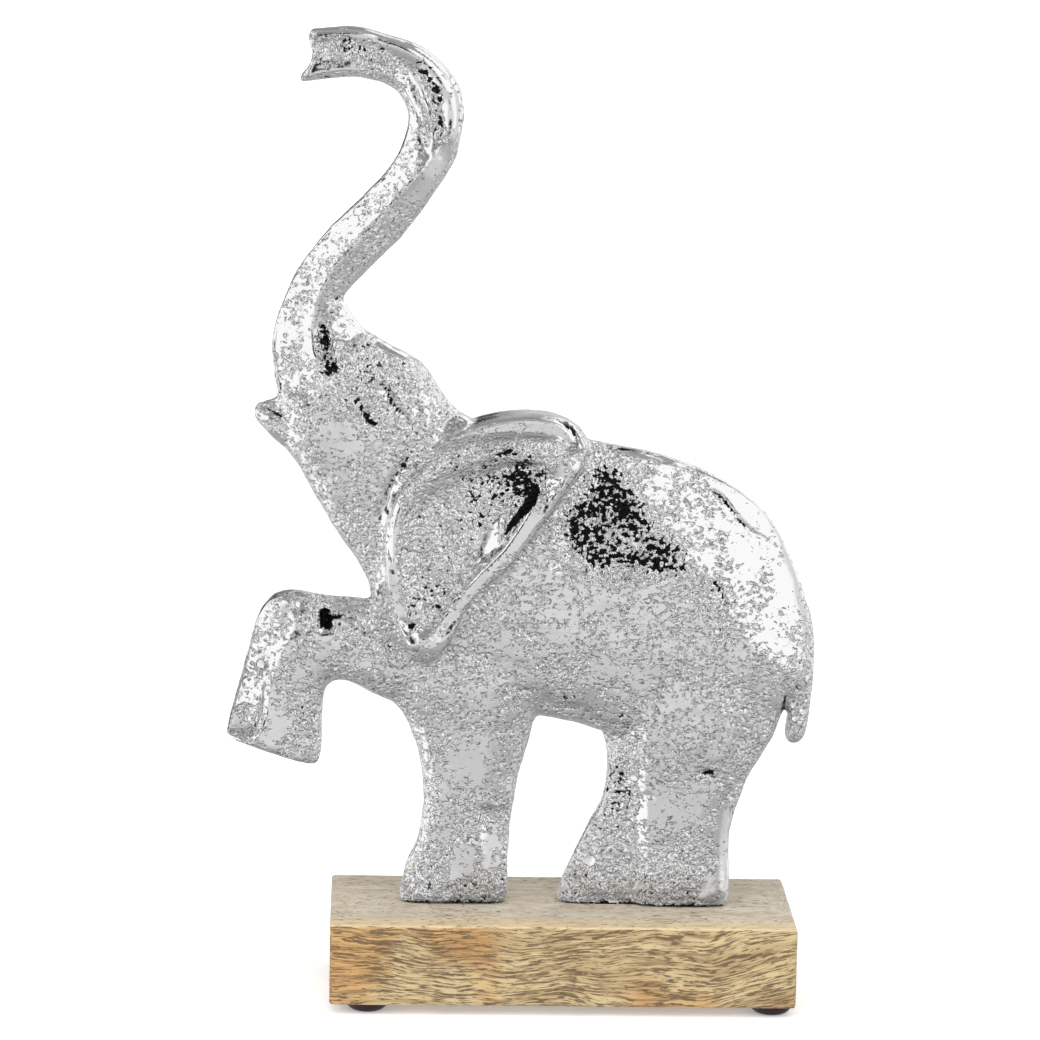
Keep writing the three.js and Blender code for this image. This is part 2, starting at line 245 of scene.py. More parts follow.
BODY_LINES = [
    # edge of the bevel along the rump
    [(43.3, 155.5, 0.8, 1.0), (46.0, 153.6, 0.9, 1.5), (49.3, 149.6, 0.9, 1.5), (51.6, 146.4, 0.9, 1.5),
     (56.0, 142.6, 0.8, 1.3), (60.3, 140.5, 0.7, 0.7)],
    # front edge of the rump
    [(38, 132, 0.8, 0.5), (42.5, 129.4, 0.8, 0.9), (45.6, 127.1, 0.9, 1.2), (47, 123.9, 0.9, 1.2),
     (48, 119, 0.8, 0.6)],
    # crease of the hind leg, and dents in the thigh
    [(10, 80, 2.4, 0.3), (13.6, 76, 3.0, 0.6), (15.7, 66.5, 3.4, 0.7), (17.8, 53.9, 3.0, 0.6),
     (21.1, 41.4, 2.4, 0.3)],
    [(15.6, 73.0, 1.0, 0.4), (17.6, 68.0, 1.2, 0.75), (18.0, 64.5, 1.2, 0.6), (20.4, 60.0, 1.2, 0.8),
     (20.8, 56.0, 1.2, 0.85), (19.6, 52.0, 1.2, 0.6), (21.6, 47.6, 1.2, 0.75), (23.4, 43.1, 1.1, 0.5)],
    [(40, 68.2, 1.0, 0.6), (43.5, 68.6, 1.8, 1.3), (47.6, 68.6, 1.2, 0.7)],
    [(24, 60.5, 1.0, 0.6), (26, 60.8, 1.3, 0.7), (27.5, 60.2, 0.8, 0.4)],
    # raised leg
    [(-73.8, 116.4, 2.7, 2.6), (-73.4, 113.4, 2.9, 2.8)],
    [(-71.5, 115.2, 1.5, 1.3), (-69.1, 115.6, 1.4, 1.1), (-65.5, 115.0, 1.1, 0.5)],
    [(-70, 113.4, 1.8, 0.8), (-65.5, 111.8, 1.6, 0.4)],
    # tail
    [(67, 99, 1.2, 0.5), (67, 92, 1.6, 1.0), (67, 85, 1.8, 1.2), (66, 79.5, 1.4, 0.9)],
    # belly edge
    [(-6, 90, 3.0, 0.6), (4, 88, 3.0, 0.7), (14, 83, 3.0, 0.6)],
]
LINES = HEAD_LINES + EAR_LINES + BODY_LINES

# Valleys and ridges with straight sides as points of (x, z, width on the left of the line's run, width on
# its right, depth)
FOLDS = [
    # valley under the trunk's outer rim, run from the tip
    [(-80, 291.2, 1.5, 2.5, 0.8), (-69, 290.4, 2.2, 4, 1.5), (-61, 288.6, 3.4, 5, 2.2),
     (-54.7, 285.6, 4.0, 5, 2.7), (-49.8, 280.8, 5.4, 4.5, 3.2), (-46.8, 276.0, 6.6, 4, 3.4),
     (-45.0, 271.2, 7.4, 3.5, 3.4), (-43.8, 266, 7.2, 3, 3.0), (-43.0, 261, 5.6, 2.2, 2.2),
     (-43.0, 257.5, 2.5, 1.5, 0.8)],
    # ridge down the trunk
    [(-41.2, 258.5, 4, 4, -0.5), (-46, 251.5, 7, 7, -1.9), (-52.5, 244.8, 8, 8, -2.2),
     (-59, 237.3, 8, 8, -2.2), (-65.6, 231.0, 8, 8, -2.2), (-72.1, 224.0, 8, 7, -1.6),
     (-75, 214, 7, 5, -0.5)],
    # fold between trunk and cheek
    [(-74.3, 209.0, 1.6, 2.0, 1.0), (-75.0, 203.6, 2.4, 3.5, 2.6), (-74.0, 197.9, 3.2, 4.5, 3.4),
     (-72.5, 193.1, 3.4, 4.0, 3.0), (-71.6, 189, 2.0, 2.0, 0.8)],
]

# Flat facets as outline, soft edge, tilt to the right and tilt upwards in degrees
FACETS = [
    # right facet of the trunk
    ([(-41.0, 258.5), (-36.3, 261.0), (-37.5, 253), (-43, 245), (-50, 238), (-56, 239), (-52.5, 243.8),
      (-46, 250.5)], 1.6, 15, -8),
    # front of the hind leg's step
    ([(12, 68), (20, 68), (21, 42), (20, 25), (13, 25), (14, 45)], 10, -3, -2),
    # lighter flats of the legs
    ([(-25.7, 56), (-17.8, 56), (-16.8, 30), (-24.7, 30)], 3, 9, 3),
    ([(0, 42), (9.2, 53), (12.7, 50), (10.5, 33), (-2, 33)], 3, -20, 0),
    # bulges inside the trunk's bend
    ([(-50.5, 280), (-46.5, 277.5), (-44.5, 272), (-48.5, 269.5), (-52, 275)], 2.0, 4, 4),
    # lobe beside the trunk
    ([(-73.8, 206), (-69.6, 211.7), (-66.3, 207.5), (-62.9, 202.8), (-66.7, 198.9), (-71.4, 201.2)], 2.0,
     14, 12),
    # flat under the brow, and top of the head
    ([(-57, 186), (-52, 181), (-46, 184), (-48, 192), (-54, 196)], 2.5, 12, 10),
    ([(-61.1, 200.0), (-57.5, 200.6), (-51.9, 198.3), (-48.3, 195.8), (-50.8, 194.5), (-55.9, 196.5),
      (-60.0, 198.5)], 1.2, -2, 20),
    # left side of the trunk's root, and of the raised leg
    ([(-88, 219), (-77.1, 218.4), (-78.0, 208.0), (-78.2, 197.7), (-75.8, 187.4), (-79.3, 183.2),
      (-90.0, 183.2), (-94, 197.6), (-92, 208.9)], 4, -22, 0),
    ([(-94, 122), (-83.0, 121.0), (-82.5, 113.0), (-88.0, 104.7), (-91.5, 94.8), (-92.5, 85.8),
      (-95.6, 77.3), (-104, 78), (-102, 98.8), (-98, 113.5)], 3, -22, -2),
    # right wall of the ear's dish, its facet below, and its folded part above
    ([(-20.5, 143.8), (-17, 150), (-13.6, 155.5), (-11, 161.5), (-7.8, 161.5), (-9.5, 155.5),
      (-13.6, 148.5), (-18.3, 142.6)], 1.6, -13, 12),
    ([(-27.8, 134.1), (-26.4, 139.5), (-24.0, 145.2), (-21.0, 147.2), (-20.3, 142.5), (-22.4, 138.3),
      (-25.8, 132.8)], 1.0, -28, -2),
    ([(-26, 160.5), (-19.5, 164.4), (-9.2, 164.5), (-11, 158.5), (-16, 155), (-22, 157)], 3.0, -9, 8),
    # the ear's lower tip
    ([(-49.5, 110.5), (-45.5, 113.5), (-40.5, 113.5), (-38, 109.5), (-41, 105.5), (-46.0, 107.0)], 1.4,
     -2, 0),
    # the ear's top
    ([(-36.0, 171.5), (-30.0, 178.4), (-21.7, 180.1), (-15.6, 180.4), (-6.3, 179.5), (-2.2, 177.2),
      (0.9, 174.6), (3, 170.5), (3, 168.5), (-1, 168.5), (-4, 171.5), (-9.3, 172.3), (-17.6, 172.6),
      (-26.8, 171.5)], 1.8, -1, 4),
    ([(-38.6, 171.7), (-36.6, 176.2), (-30.0, 179.2), (-28.4, 177.7), (-34.0, 174.7), (-37.3, 171.3)],
     1.0, -27, 4),
    # bevel along the back
    ([(8.2, 172), (17.7, 171.8), (28.4, 169.9), (40, 165.8), (38.1, 162.3), (29.7, 164.1), (21.3, 166.9),
      (12, 167.5)], 1.2, -4, 28),
]

# Flat bands along a line of (x, z), with half width, soft edge and height
BANDS = [
    # rim of the trunk
    ([(-77, 295.6), (-69.5, 296.2), (-60, 294.6), (-50.8, 290.8), (-43.2, 285.6), (-37.8, 280.4),
      (-35.0, 275.0), (-33.9, 269.0), (-34.6, 263.5), (-36.0, 260.4)], 0.9, 0.7, 0.3),
    # right rim of the ear
    ([(-46.5, 109.5), (-41.5, 109.5), (-37.5, 115.5), (-32.2, 122.8), (-25.1, 130.8), (-18.5, 137.5),
      (-15.5, 142.0), (-11.6, 148.2), (-8.8, 153.0)], 2.3, 1.2, 0.8),
    # left rim of the ear
    ([(-54.0, 134), (-53.2, 124), (-49.8, 114.7), (-46.5, 109.5)], 1.5, 1.0, 0.5),
]

# Slopes as outline, soft edge, the point where they are deepest, the point where they end, and the depth
SLOPES = [
    # hollow behind the ear
    ([(-3.1, 151.7), (4.3, 160.5), (13.3, 166.1), (23, 160.1), (27.7, 149), (38.5, 139.9), (37.6, 129.6),
      (26, 129), (9.4, 128.2), (-4.2, 132.8)], 8, (3, 158), (33, 129), 1.8),
    # upper right of the rump
    ([(8, 168), (14, 180), (45, 175), (78, 155), (90, 120), (84, 104), (62, 103), (51.5, 106.5),
      (45, 127), (35, 136.5), (25, 147.5), (18, 153.5), (11, 161)], 6, (51, 164.5), (27, 144.5), 9.5),
]

# Outline, soft edge and how pitted the skin is there, from 0 for polished
PITTED = [
    # bend of the trunk, head, and dish of the ear
    ([(-80, 296), (-50, 292), (-34, 272), (-40, 256), (-50, 268), (-58, 277), (-82, 278)], 3, 0.85),
    ([(-75, 215), (-58, 205), (-42, 190), (-40, 182), (-52, 170), (-66, 176), (-78, 190)], 5, 1.0),
    ([(-50, 158.8), (-30.6, 172), (-6.4, 169), (-7.6, 153.2), (-21, 140.7), (-34, 118), (-50, 112)], 4,
     1.0),
    # hollow behind the ear, front of the hind leg, and the soles
    ([(-3, 151), (4, 161), (13, 167), (19, 158), (28, 149), (37, 137), (36, 128), (9, 128), (-3, 132)], 4,
     1.0),
    ([(10.5, 79), (22.7, 79.1), (23.2, 60.3), (20.6, 28), (-8, 26), (6.5, 50.7), (10.9, 63.3)], 4, 1.0),
    ([(-45, 45), (-12, 45), (-12, 24), (-48, 24)], 4, 1.0),
    ([(20, 42), (50, 42), (50, 24), (20, 24)], 4, 1.0),
    # raised leg
    ([(-92, 126), (-60, 122), (-52, 112), (-50, 98), (-62, 108), (-78, 100), (-80, 78), (-100, 76),
      (-99, 100)], 3, 0.80),
]
# Outline, soft edge and the share of the pits that is rubbed away there
POLISHED = [
    # jaw
    ([(-77.7, 172.3), (-73.1, 175.0), (-63.9, 174.1), (-61.2, 169.9), (-65.8, 167.3), (-75.1, 167.2)], 4,
     0.85),
    # trunk's left side, upper right of the rump, left of the raised leg
    ([(-50, 270), (-42, 262), (-44, 250), (-60, 238), (-72, 224), (-76, 205), (-78, 185), (-94, 184),
      (-96, 210), (-88, 226), (-70, 244), (-52, 262)], 4, 0.40),
    ([(14, 168), (24, 168), (42, 163), (62, 150), (78, 120), (66, 103), (52, 108), (46, 128), (37, 137),
      (28, 149), (19, 158)], 5, 0.38),
    ([(-92, 126), (-78, 123), (-80, 113), (-88, 95), (-90, 76), (-104, 78), (-102, 98.8), (-98, 113.5)],
     3, 0.35),
    # raised leg
    ([(-76.5, 111.3), (-72.2, 112.6), (-67.4, 105.7), (-75.3, 103.0)], 3, 0.85),
    ([(-85.8, 99.6), (-75.3, 101.6), (-74.5, 98.3), (-80.2, 92.4)], 3, 0.7),
    ([(-90.3, 89.2), (-85.5, 90.8), (-84.6, 79.4), (-90.2, 75.2)], 3, 0.8),
    # trunk: rim and its facets, bulges in the bend, right facet
    ([(-80, 296), (-60, 296), (-42, 287), (-34, 272), (-35, 262), (-38, 260), (-40, 268), (-40.5, 276),
      (-46, 282), (-56, 287.5), (-62, 290.5), (-80, 292.5)], 1.4, 0.92),
    ([(-50.5, 281), (-45.5, 278), (-43.5, 272), (-47.5, 268.5), (-52, 275)], 2, 0.92),
    ([(-40.5, 259), (-36, 261), (-38.2, 252), (-45, 243.5), (-51, 242), (-46, 251.5)], 3, 0.92),
    ([(-79, 284), (-66, 284), (-66, 281), (-79, 280)], 2, 0.92),
    # belly, shoulder and thigh
    ([(-6, 128), (4, 130), (18, 127), (34, 127), (37, 112), (26, 104), (23, 92), (15, 90), (12, 100),
      (2, 104), (-9, 112)], 12, 0.30),
    ([(-28, 96), (-20, 97), (-21, 62), (-30, 66)], 6, 0.45),
    ([(30, 98), (42, 94), (36, 72), (28, 78)], 8, 0.40),
    # smooth spots of the standing legs, and the heel
    ([(-35.0, 76.2), (-24.7, 76.4), (-25.9, 64.2), (-32.5, 58.8), (-35.6, 65.6)], 4, 0.60),
    ([(-33.0, 44.2), (-26.4, 44.3), (-26.2, 33.2), (-34.4, 33.2)], 3, 0.80),
    ([(-25.7, 50.4), (-19.8, 50.5), (-18.8, 36.7), (-24.7, 36.6)], 3, 0.80),
    ([(23.0, 64.7), (32.7, 64.8), (34.4, 54.1), (28.7, 44.8), (22.7, 44.8)], 4, 0.60),
    ([(34.2, 64.8), (43.1, 63.4), (43.4, 52.7), (36.0, 51.1)], 4, 0.65),
    ([(41.7, 31.9), (47.5, 37.4), (47.8, 57.3), (51.5, 57.3), (53, 34.0), (50, 27), (42.5, 27)], 2.5,
     0.85),
    ([(2.6, 44.6), (9.2, 50.8), (13.7, 47.8), (9.5, 37.0), (3.5, 38.5)], 3, 0.55),
    # white flat below the rump's bevel
    ([(44, 152), (52, 145), (60.5, 139.5), (61.5, 133), (53, 132), (47.5, 137), (43, 146)], 5, 0.75),
    # bevels along the back and the rump
    ([(8, 173), (22, 171.5), (43, 165), (58, 153), (68, 138), (73, 118), (68, 112), (62, 134), (52, 148),
      (42, 158), (38, 162.3), (29, 164), (12, 167.5)], 2, 0.92),
    # rim and top of the ear
    ([(-38, 172), (-30, 179), (-10, 181.5), (1, 176), (3, 171), (-3, 171.5), (-9, 172), (-17, 172.5),
      (-28, 171.5)], 1.6, 0.85),
    ([(-50, 110), (-46, 104), (-38, 108), (-30, 124), (-18, 136), (-9, 148), (-12, 151), (-20, 141),
      (-25, 134.5), (-36, 119), (-41, 114), (-46, 113)], 1.6, 0.92),
    ([(-28.2, 133.5), (-26.8, 140), (-24.4, 146), (-20.5, 147.8), (-19.6, 142.5), (-22.0, 138),
      (-25.4, 132.5)], 1.6, 0.80),
    ([(-50, 110), (-56, 132), (-57, 150), (-53, 159), (-51.5, 150), (-52.5, 132), (-49, 116.5),
      (-46, 113)], 1.6, 0.85),
    # lobe beside the trunk
    ([(-73, 205), (-69, 211.5), (-65, 207), (-62, 202), (-67, 198.5), (-72, 201)], 1.5, 0.92),
    # nape and the flat top of the head
    ([(-48, 192), (-42, 189), (-41, 181), (-46, 180), (-50, 187)], 3, 0.50),
    ([(-61.1, 200.0), (-57.5, 200.6), (-51.9, 198.3), (-48.3, 195.8), (-50.8, 194.5), (-55.9, 196.5),
      (-60.0, 198.5)], 1.5, 0.92),
]
# Recesses painted dark, as painted shade and painted reflections of a dark room: outline, soft edge and
# strength
DARK = [
    # granules in the trunk's valley
    ([(-49.8, 286.3), (-46.4, 284.4), (-41.0, 281.7), (-40.1, 276.7), (-40.0, 270.8), (-42.3, 271.3),
      (-43.8, 276.6), (-47.8, 281.9)], 1.6, 0.68),
    ([(-42.8, 270.8), (-39.8, 270.4), (-39.2, 262.1), (-42.1, 257.1), (-44.5, 257.6), (-42.7, 263.0)],
     1.5, 0.36),
    ([(-72.2, 292.7), (-59.6, 291.9), (-54.7, 288.1), (-56.6, 285.2), (-65.3, 286.0), (-72.2, 287.9)], 3,
     0.26),
    # fold between trunk and cheek
    ([(-76.5, 204.8), (-74.2, 205.5), (-72.5, 197.8), (-70.0, 191.1), (-73.8, 190.0), (-75.1, 195.7),
      (-76.6, 200.8)], 1.2, 0.60),
    # in front of the ear's top
    ([(-50.0, 174.2), (-42.3, 175.4), (-44.3, 170.2), (-47.3, 165.9), (-49.9, 167.0)], 3, 0.26),
    # forehead and the skin around the eye
    ([(-67, 204), (-62, 200), (-52, 196), (-44, 184), (-46, 175), (-58, 173), (-66, 184), (-69, 196)], 5,
     0.13),
    # right wall of the ear's dish, blotches above it, and the rest of the dish
    ([(-20.2, 142.7), (-18.4, 146.6), (-15.4, 150.7), (-12.7, 154.8), (-10.6, 158.6), (-9.4, 156.8),
      (-10.6, 153.0), (-13.1, 149.2), (-16.7, 145.6), (-19.2, 142.7)], 0.8, 1.2),
    ([(-20.4, 161.4), (-14.2, 162.7), (-7.5, 162.6), (-7.0, 160.5), (-9.5, 156), (-13.5, 153.2),
      (-15.5, 157)], 1.8, 0.50),
    ([(-24.1, 161.8), (-19.5, 163.6), (-16.2, 161.3), (-18, 158.4), (-21.5, 158.7)], 2.0, 0.48),
    ([(-32, 161), (-29, 163), (-27, 161), (-28.5, 158)], 2.0, 0.40),
    ([(-34, 164), (-12, 168), (-9, 160), (-18, 145), (-30, 146)], 5, 0.22),
    ([(-50, 134), (-38, 136), (-34, 124), (-46, 116)], 4, 0.12),
    # raised leg beside the ear, edge of the belly, front of the hind leg
    ([(-57.1, 114.0), (-54.7, 113.2), (-51.4, 105.1), (-52.2, 99.4), (-55.3, 98.5), (-57.8, 105.8)], 2.0,
     0.30),
    ([(-2.2, 96.2), (7.5, 93.8), (17.2, 87.6), (26.1, 78.8), (22.2, 77.8), (12.5, 81.6), (3.8, 84.5),
      (-2.0, 86.9)], 3, 0.20),
    ([(12.7, 73.7), (17.6, 71.8), (21.2, 60.0), (21.9, 48.1), (16.1, 50.0), (10.2, 55.9), (12.9, 64.8)],
     4, 0.14),
    # behind the ear
    ([(-2.5, 148.6), (5.0, 156.0), (11.4, 163.0), (15.5, 158), (20.5, 154), (23, 146.3), (30, 142),
      (36.5, 136.5), (36.0, 130), (26, 131.5), (9.4, 133), (0, 136.5)], 6, 0.54),
    ([(0, 150), (8, 156), (13, 160), (20, 150), (16, 145), (6, 146)], 4, 0.66),
    ([(22, 142), (30, 140), (35, 134), (28, 134)], 3, 0.64),
]

# The casting's skin, with its sizes, depths and heights in millimetres. SEAT closes the gap that the solids
# leave between two pieces.
FINE_CELL = 0.88
RUBBED_PASSES = 7
SEAT = 0.3
HALF_THICKNESS = 15
# The drawn relief fades out where the skin turns away from the casting's two faces.
FACE_FROM = 0.15
FACE_TO = 0.5
DARK_FROM = 0.02
DARK_TO = 0.2
# A wide facet sinks in until at most LOWEST per cent of it stands over MOST_PROUD above the skin it covers.
LOWEST = 5
MOST_PROUD = 1.0
NEAREST_POINTS = 12
PITTED_ELSEWHERE = 0.62
# Grooves are painted with shade between these two depths, and the soles with the shade beside the wood
# between these two heights.
GROOVE_UNSHADED = 0.4
GROOVE_DARK = 1.3
GROOVE_SHADE = 1.3
SOLE_DARK = 0.2
SOLE_UNSHADED = 1.3
DARK_LUMP = 5
DARK_UNEVEN = 0.30
WIDE_LUMP = 9
WIDE_LUMP_HEIGHT = 0.34
SMALL_LUMP = 3.2
SMALL_LUMP_HEIGHT = 0.27
LUMPS_WHERE_POLISHED = 0.4
LUMPS_FULL_AT = 5
SOLE_CURL = 4.0
SOLE_CURL_IN = 0.4
SEAT_FADE = 6


def note(mesh, name, values):
    """Keeps a value of each point, for the material to read."""
    mesh.attributes.new(name, "FLOAT", "POINT").data.foreach_set("value", values.astype(np.float32))


def how_pitted(x, z):
    pitted = np.full(len(x), PITTED_ELSEWHERE)
    for outline, soft, amount in PITTED:
        share = patch(x, z, outline, soft)
        pitted += (amount - pitted) * share
    for outline, soft, amount in POLISHED:
        pitted *= 1 - amount * patch(x, z, outline, soft)
    return pitted


def how_thinned(x, z):
    """What the slopes take off each face, in millimetres where the casting is thickest."""
    thinner = np.zeros(len(x))
    for outline, soft, (x0, z0), (x1, z1), depth in SLOPES:
        along = ((x - x1) * (x0 - x1) + (z - z1) * (z0 - z1)) / ((x0 - x1) ** 2 + (z0 - z1) ** 2)
        thinner += depth * np.clip(along, 0, 1) * patch(x, z, outline, soft)
    return thinner


def levelled(x, z, outer, face, front):
    """How far the facets and bands press each point of the skin inwards, in millimetres."""
    inwards = np.zeros(len(x))
    for outline, soft, right, up in FACETS:
        share = patch(x, z, outline, soft)
        for side in (-1, 1):
            own = (share > 0.5) & (face > 0.5) & (front == side)
            if own.any():
                level = outer[own].mean() - np.tan(np.radians(right)) * (x - x[own].mean())
                level -= np.tan(np.radians(up)) * (z - z[own].mean())
                level += min(0, np.percentile((outer - inwards - level)[own], LOWEST) + MOST_PROUD)
                inwards = np.where(front == side, inwards + share * (outer - inwards - level), inwards)
    for line, half, soft, height in BANDS:
        for side in (-1, 1):
            own = np.flatnonzero((face > 0.5) & (front == side))
            path = []
            for px, pz in line:
                near = own[np.argsort(np.hypot(x[own] - px, z[own] - pz))[:NEAREST_POINTS]]
                path.append((px, pz, (outer - inwards)[near].mean() + height))
            far, level = off_line(x, z, path)
            share = 1 - ease(half - soft / 2, half + soft / 2, far)
            inwards = np.where(front == side, inwards + share * (outer - inwards - level[:, 0]), inwards)
    return inwards


def cast_elephant():
    bm = bmesh.new()
    bm.from_mesh(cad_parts["elephant"].data)
    bmesh.ops.remove_doubles(bm, verts=bm.verts, dist=MERGE_WITHIN * MM)
    piece = new_piece("elephant_casting", bm)
    even_skin(piece, FINE_CELL * MM, RUBBED_PASSES)
    mesh = piece.data
    points = places(mesh)
    outwards = facings(mesh)
    x = (points[:, 0] - MIDDLE_X) / MM
    z = (points[:, 2] - UNDERSIDE) / MM
    height = (points[:, 2] - FIGURE_LOW.z) / MM
    sideways = np.abs(outwards[:, 1])
    face = ease(FACE_FROM, FACE_TO, sideways)
    front = np.where(outwards[:, 1] < 0, -1.0, 1.0)
    pitted = how_pitted(x, z)
    points[:, 1] *= 1 - how_thinned(x, z) / HALF_THICKNESS
    inwards = levelled(x, z, points[:, 1] * front / MM, face, front)
    shaded_grooves = np.zeros(len(points))
    for line in FOLDS:
        inwards += fold_of(x, z, line)
    for line in LINES:
        depth = stroke(x, z, line)
        inwards += depth
        shaded_grooves = np.maximum(shaded_grooves, GROOVE_SHADE * ease(GROOVE_UNSHADED, GROOVE_DARK, depth))
    # painted shade and painted dark reflection: the recesses in DARK, the deeper grooves and the soles next
    # to the wood
    dark = np.zeros(len(points))
    for outline, soft, amount in DARK:
        dark = np.maximum(dark, amount * patch(x, z, outline, soft))
    dark *= 1 + DARK_UNEVEN * bumps(points, DARK_LUMP, 3)
    dark = np.maximum(dark, shaded_grooves) * ease(DARK_FROM, DARK_TO, sideways)
    dark = np.maximum(dark, 1 - ease(SOLE_DARK, SOLE_UNSHADED, height))
    points[:, 1] -= front * face * inwards * MM
    wide = WIDE_LUMP_HEIGHT * bumps(points, WIDE_LUMP, 1) * (LUMPS_WHERE_POLISHED + pitted)
    lumps = wide + SMALL_LUMP_HEIGHT * bumps(points, SMALL_LUMP, 2) * pitted
    lumps *= ease(0, LUMPS_FULL_AT, height)
    points += outwards * (lumps * MM)[:, None]
    # the soles curl in towards the block
    curl = 1 - np.sqrt(1 - np.clip(1 - height / SOLE_CURL, 0, 1) ** 2)
    level_outwards = outwards * np.array([1, 1, 0])
    points -= level_outwards * (curl * SOLE_CURL_IN * SOLE_CURL * MM)[:, None]
    points[:, 2] -= SEAT * MM * (1 - ease(0, SEAT_FADE, height))
    for axis in (0, 2):
        low = FIGURE_LOW[axis] - (SEAT * MM if axis == 2 else 0)
        points[:, axis] = np.clip(points[:, axis], low, FIGURE_HIGH[axis])
    set_places(mesh, points)
    note(mesh, "pitted", pitted)
    note(mesh, "dark", dark)
    note(mesh, "above_wood", height)
    return piece


# Wood block, in millimetres
BLOCK_EDGE = 0.6
BLOCK_CELL = 0.7
ALONG_THE_GRAIN = (0.12, 1.0, 1.0)
GRAIN_LUMP = 1.4
GRAIN_HEIGHT = 0.10
CHIP = 2.6
CHIP_DEPTH = 0.5


def wood_block():
    bm = bmesh.new()
    bmesh.ops.create_cube(bm, size=1)
    size = BLOCK_HIGH - BLOCK_LOW
    bmesh.ops.scale(bm, vec=size, verts=bm.verts)
    bmesh.ops.translate(bm, vec=(BLOCK_LOW + BLOCK_HIGH) / 2, verts=bm.verts)
    bmesh.ops.bevel(bm, geom=bm.edges[:], offset=BLOCK_EDGE * MM, offset_type="OFFSET",
                    segments=3, profile=0.5, affect="EDGES", material=-1)
    piece = new_piece("wood_block", bm)
    even_skin(piece, BLOCK_CELL * MM, 0)
    mesh = piece.data
    points = places(mesh)
    outwards = facings(mesh)
    stretched = points * np.array(ALONG_THE_GRAIN)
    grain = GRAIN_HEIGHT * bumps(stretched, GRAIN_LUMP, 5)
    # small chips along the edges, where the skin faces two ways
    edge = 1 - np.max(np.abs(outwards), axis=1)
    chips = -CHIP_DEPTH * ease(0.05, 0.3, edge) * ease(0.1, 0.6, bumps(stretched, CHIP, 7))
    points += outwards * ((grain + chips) * MM)[:, None]
    for axis in range(3):
        points[:, axis] = np.clip(points[:, axis], BLOCK_LOW[axis], BLOCK_HIGH[axis])
    set_places(mesh, points)
    return piece


# Rubber feet. FOOT_FLAT is the flat underside's share of the radius.
FOOT_FLAT = 0.46
FOOT_ARC_STEPS = 12
FOOT_TURN_STEPS = 64


def rubber_foot(node):
    low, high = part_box(node)
    middle = (low + high) / 2
    radius = (high.x - low.x) / 2
    flat = radius * FOOT_FLAT
    height = high.z - low.z
    bm = bmesh.new()
    profile = [Vector((0, 0, 0))]
    for step in range(FOOT_ARC_STEPS + 1):
        turn = math.radians(90) * step / FOOT_ARC_STEPS
        profile.append(Vector((flat + (radius - flat) * math.sin(turn), 0, height * (1 - math.cos(turn)))))
    profile.append(Vector((radius, 0, height + SEAT * MM)))
    profile.append(Vector((0, 0, height + SEAT * MM)))
    rim = [bm.verts.new(point + Vector((middle.x, middle.y, low.z))) for point in profile]
    edges = [bm.edges.new(pair) for pair in zip(rim, rim[1:])]
    bmesh.ops.spin(bm, geom=rim + edges, cent=(middle.x, middle.y, low.z), axis=(0, 0, 1),
                   angle=math.radians(360), steps=FOOT_TURN_STEPS, use_merge=True)
    bmesh.ops.remove_doubles(bm, verts=bm.verts, dist=MERGE_WITHIN * MM)
    return new_piece("rubber_" + node, bm)


# Cast aluminium: sizes in millimetres, and heights of its pattern as shares of the pattern's own
CLUSTER = 9
CLUSTER_GAIN = 0.68
PIT = 1.7
PIT_GAIN = 0.31
PIT_START = -0.03
PIT_WALL = 0.07
CRUMB = 1.35
CRUMBS_IN_PITS = 1.5
CRUMBS_ON_SKIN = 0.05
DARK_GAIN = 0.55
DARK_BELOW = -0.40
UNSHADED_ABOVE = -0.35
# painted shade along the edges of the pits, in broken lines
PIT_EDGE_SHADE_GAP = 1.1
PIT_EDGE_SHADE_WIDTH = 0.05
PIT_EDGE_SHADE_SHARE = 0.95
TINT_FULL_BELOW = 2
TINT_GONE_ABOVE = 15
TINT_SHARE = 0.6
METAL = (0.89, 0.882, 0.882)
PIT_EDGE_SHADE = (0.16, 0.155, 0.16)
WOOD_IN_METAL = (0.30, 0.27, 0.20)
RECESS_SHADE = (0.014, 0.012, 0.014)
METAL_ROUGHNESS = 0.10
METAL_RELIEF = 1.0

# Light wood: sizes in millimetres, and its colours
WAVE = 42
WAVE_HEIGHT = 17
RISE_LENGTH = 40
RISE = 0.22
WARM_LIGHT = (0.62, 0.39, 0.165)
WARM_DARK = (0.52, 0.29, 0.105)
GREENISH = (0.57, 0.45, 0.245)
GREEN_TOWARDS_RIGHT = 0.16
WARM_LENGTH = 70
BROWN_FIGURE = (0.38, 0.21, 0.08)
FIGURE_LEFT_OF_MIDDLE = 23
FIGURE_ABOVE_TABLE = 18
FIGURE_FULL_ALONG = 10
FIGURE_GONE_ALONG = 20
FIGURE_FULL_UP = 2
FIGURE_GONE_UP = 7
STREAK = (0.29, 0.18, 0.075)
STREAK_SHARE = 0.50
TOP_STARTS_BELOW = 0.9
TOP_FULL_BELOW = 0.2
TOP_DARK = (0.55, 0.475, 0.36)
TOP_LIGHT = (0.645, 0.575, 0.465)
WORN = (0.72, 0.57, 0.35)
WORN_FULL_BEHIND = 2
WORN_GONE_BEHIND = 14
FIBRE = (0.24, 0.15, 0.07)
FIBRE_SHARE = 0.85
PORE = (0.13, 0.08, 0.038)
PORE_SHARE = 0.92
WOOD_RELIEF = 0.15

# Dark rubber
RUBBER_DARK = (0.012, 0.006, 0.007)
RUBBER_LIGHT = (0.035, 0.016, 0.018)
RUBBER_ROUGHNESS = 0.42
RUBBER_RELIEF = 0.05


# Helpers that make materials
def finish_of(name):
    material = bpy.data.materials.new(name)
    material.use_nodes = True
    tree = material.node_tree
    return material, tree, tree.nodes["Principled BSDF"]


def add_node(tree, kind, **settings):
    made = tree.nodes.new(kind)
    for key, value in settings.items():
        setattr(made, key, value)
    return made


